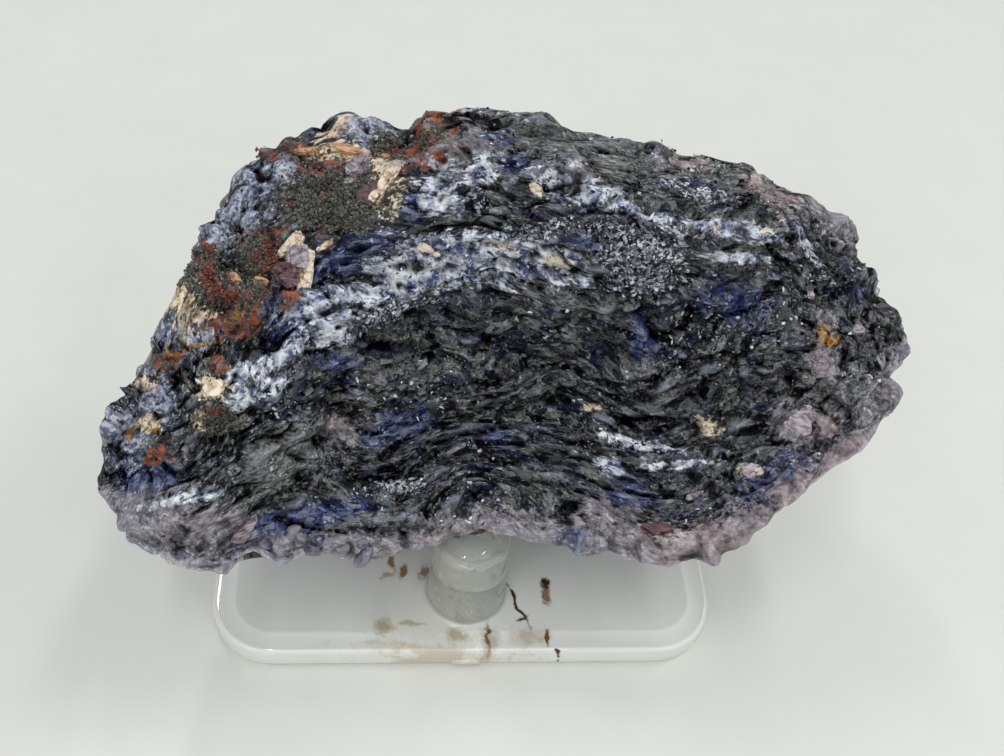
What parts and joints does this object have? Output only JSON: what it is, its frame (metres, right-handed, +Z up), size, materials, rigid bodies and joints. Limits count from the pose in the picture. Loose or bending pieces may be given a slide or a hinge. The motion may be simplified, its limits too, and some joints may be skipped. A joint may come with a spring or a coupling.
{
  "type": "azurite specimen",
  "caption": "Rough wedge-shaped violet-blue mineral specimen with a weathered crust, resting on a clear plastic three-peg stand",
  "frame": {"origin": "middle of the stand's flat underside", "axes": "+X along the stand's long side and the stone's length, towards the stone's thin right tip; +Y from the stand's front edge, the side with one peg, to the back; +Z up"},
  "size_m": [0.1175, 0.0637, 0.0686],
  "materials": {
    "stone": "broken, glassy, with a dull weathered crust at one end",
    "clear_plastic": "clear moulded plastic, glossy, lightly scratched and stained"
  },
  "bodies": {
    "root": {"specimen": "stone", "stand": "clear_plastic"}
  },
  "joints": []
}
